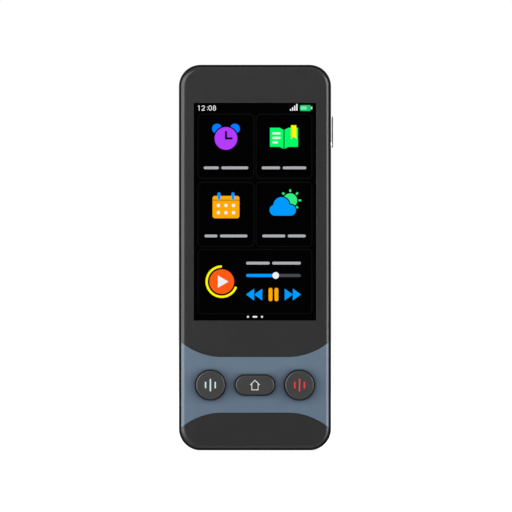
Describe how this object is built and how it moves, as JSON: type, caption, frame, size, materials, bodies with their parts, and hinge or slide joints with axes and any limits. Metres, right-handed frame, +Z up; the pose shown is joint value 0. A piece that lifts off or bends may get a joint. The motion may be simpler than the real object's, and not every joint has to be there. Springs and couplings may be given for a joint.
{
  "type": "handheld translator",
  "caption": "Upright pocket translator with a tall touch screen, round talk keys and a home key in a curved band, a side power key, rear camera and charging port.",
  "frame": {"origin": "centre of the flat bottom end of the body, on its mid-plane between front and back", "axes": "+X to the right as seen from the screen, +Y from the screen to the back, +Z up along the body's length"},
  "size_m": [0.055, 0.0141, 0.1376],
  "materials": {
    "cover_plastic": "fine satin, dark grey",
    "frame_plastic": "satin, near black",
    "panel_plastic": "smooth satin, dark grey",
    "band_plastic": "fine satin, slate blue",
    "key_plastic": "satin, dark grey",
    "pale_plastic": "satin, pale grey",
    "black_plastic": "satin, black",
    "touch_glass": "polished, opaque black",
    "display_film": "smooth",
    "sheet_steel": "bare sheet",
    "solder_resist": "green lacquer",
    "foam": "soft foam",
    "tape": "adhesive film",
    "silicone": "clear silicone",
    "battery_foil": "dull foil",
    "polyimide": "amber film",
    "spring_brass": "bare",
    "chip_resin": "moulded",
    "lens_glass": "coated, dark",
    "flash_plastic": "clear, ribbed",
    "led_phosphor": "yellow"
  },
  "bodies": {
    "main": {"rear_cover": "cover_plastic", "mid_frame": "frame_plastic", "front_cover": "panel_plastic", "key_band": "band_plastic", "chin_panel": "panel_plastic", "panel_tape": "tape", "touch_glass": "touch_glass", "display_gasket": "foam", "display_cell": "display_film", "backlight_tray": "sheet_steel", "display_foam": "foam", "display_flex": "polyimide", "key_seal": "silicone", "key_domes": "sheet_steel", "lower_board": "solder_resist", "power_switch": "sheet_steel", "switch_bracket": "sheet_steel", "port_shell": "sheet_steel", "port_tongue": "black_plastic", "main_mic": "spring_brass", "main_mic_boot": "foam", "speaker": "black_plastic", "speaker_gasket": "foam", "speaker_cushion": "foam", "speaker_grille": "black_plastic", "vibration_motor": "sheet_steel", "battery": "battery_foil", "battery_pad": "tape", "battery_board": "solder_resist", "battery_tail": "polyimide", "battery_socket": "pale_plastic", "link_flex": "polyimide", "main_board": "solder_resist", "processor_shield": "sheet_steel", "radio_shield": "sheet_steel", "board_chips": "chip_resin", "top_mic": "spring_brass", "top_mic_boot": "foam", "antenna": "spring_brass", "camera_module": "black_plastic", "camera_cushion": "foam", "camera_plate": "black_plastic", "lens_window": "lens_glass", "flash_led": "led_phosphor", "flash_board": "solder_resist", "flash_lens": "flash_plastic", "board_screws": "sheet_steel"},
    "left_talk": {"left_talk_key": "key_plastic"},
    "home": {"home_key": "key_plastic"},
    "right_talk": {"right_talk_key": "key_plastic"},
    "power": {"power_key_cap": "black_plastic", "power_key_stem": "pale_plastic"}
  },
  "joints": [
    {"name": "left_talk_press", "type": "slide", "parent": "main", "child": "left_talk", "axis": [0, 1, 0], "range_m": [0, 0.0004], "stiffness_N_per_m": 1200},
    {"name": "home_press", "type": "slide", "parent": "main", "child": "home", "axis": [0, 1, 0], "range_m": [0, 0.0004], "stiffness_N_per_m": 1200},
    {"name": "right_talk_press", "type": "slide", "parent": "main", "child": "right_talk", "axis": [0, 1, 0], "range_m": [0, 0.0004], "stiffness_N_per_m": 1200},
    {"name": "power_press", "type": "slide", "parent": "main", "child": "power", "axis": [-1, 0, 0], "range_m": [0, 0.00025], "stiffness_N_per_m": 1200}
  ]
}
